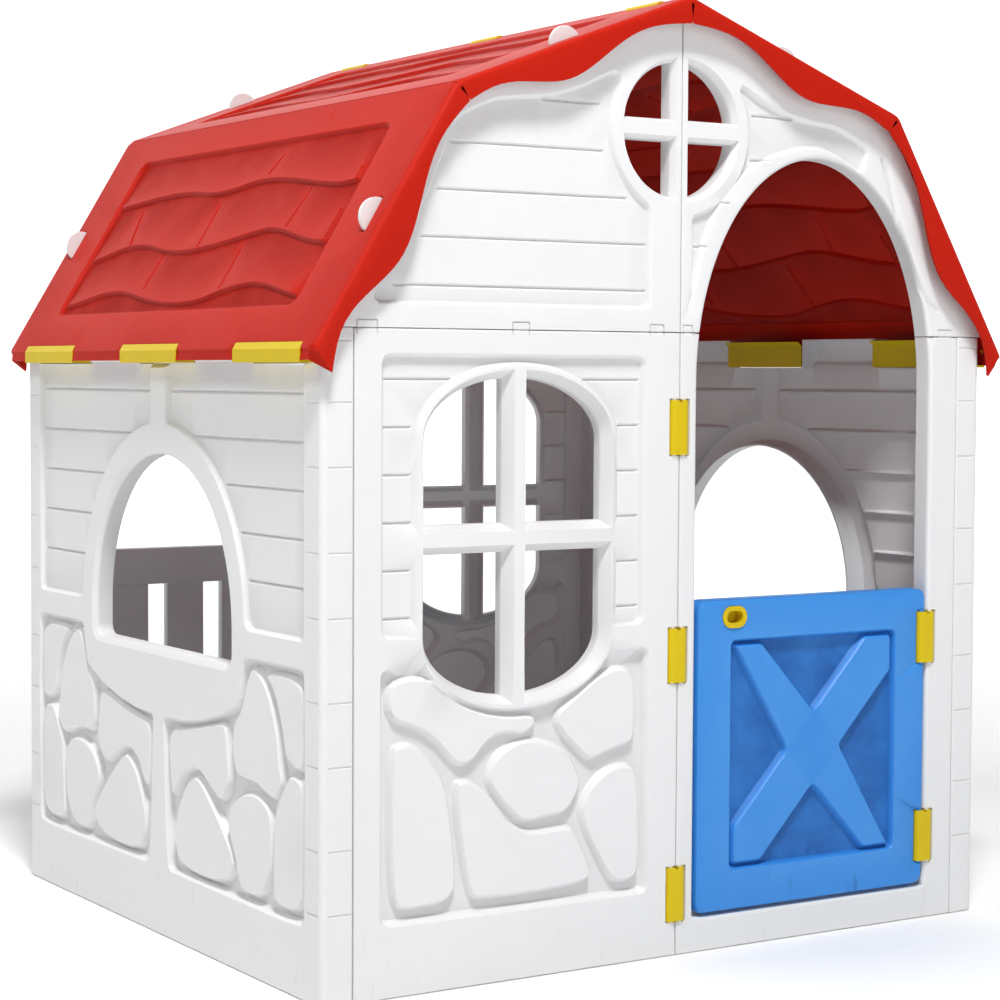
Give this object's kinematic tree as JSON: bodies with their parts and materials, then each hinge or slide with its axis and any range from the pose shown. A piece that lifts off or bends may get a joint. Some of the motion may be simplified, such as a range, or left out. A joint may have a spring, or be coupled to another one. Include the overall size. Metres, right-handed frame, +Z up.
{
  "type": "plastic playhouse",
  "caption": "Child's moulded plastic playhouse with a gambrel roof, arched doorways, a half door, a picket fence and cross-barred windows.",
  "frame": {"origin": "on the ground, in the middle of the house's footprint, roof included", "axes": "+Z up, -Y out of the front face with the half door, +X to the right of someone who faces that front"},
  "size_m": [1.02, 0.9, 1.1567],
  "materials": {
    "white_walls": "white injection-moulded polypropylene with a fine satin grain",
    "red_roof": "red injection-moulded polypropylene, semi-gloss",
    "blue_door": "light blue injection-moulded polypropylene, semi-gloss",
    "yellow_fittings": "yellow moulded plastic, slightly translucent"
  },
  "bodies": {
    "house": {"left_side_wall": "white_walls", "right_side_wall": "white_walls", "front_window_wall": "white_walls", "front_door_wall": "white_walls", "back_window_wall": "white_walls", "back_door_wall": "white_walls", "front_left_gable": "white_walls", "front_right_gable": "white_walls", "back_left_gable": "white_walls", "back_right_gable": "white_walls", "back_picket_fence": "white_walls", "left_lower_roof": "red_roof", "left_upper_roof": "red_roof", "right_upper_roof": "red_roof", "right_lower_roof": "red_roof", "front_fold_link_low": "yellow_fittings", "front_fold_link_middle": "yellow_fittings", "front_fold_link_high": "yellow_fittings", "back_fold_link_low": "yellow_fittings", "back_fold_link_middle": "yellow_fittings", "back_fold_link_high": "yellow_fittings", "door_link_low": "yellow_fittings", "door_link_high": "yellow_fittings", "ridge_link_front": "yellow_fittings", "ridge_link_middle": "yellow_fittings", "ridge_link_back": "yellow_fittings", "left_eave_clip_front": "yellow_fittings", "left_eave_clip_middle": "yellow_fittings", "left_eave_clip_back": "yellow_fittings", "right_eave_clip_front": "yellow_fittings", "right_eave_clip_middle": "yellow_fittings", "right_eave_clip_back": "yellow_fittings"},
    "door": {"front_door": "blue_door", "door_finger_cup": "yellow_fittings"}
  },
  "joints": [
    {"name": "door_swing", "type": "hinge", "parent": "house", "child": "door", "pos_m": [0.39525, -0.42675, 0.238], "axis": [0, 0, 1], "range_deg": [0, 90]}
  ]
}
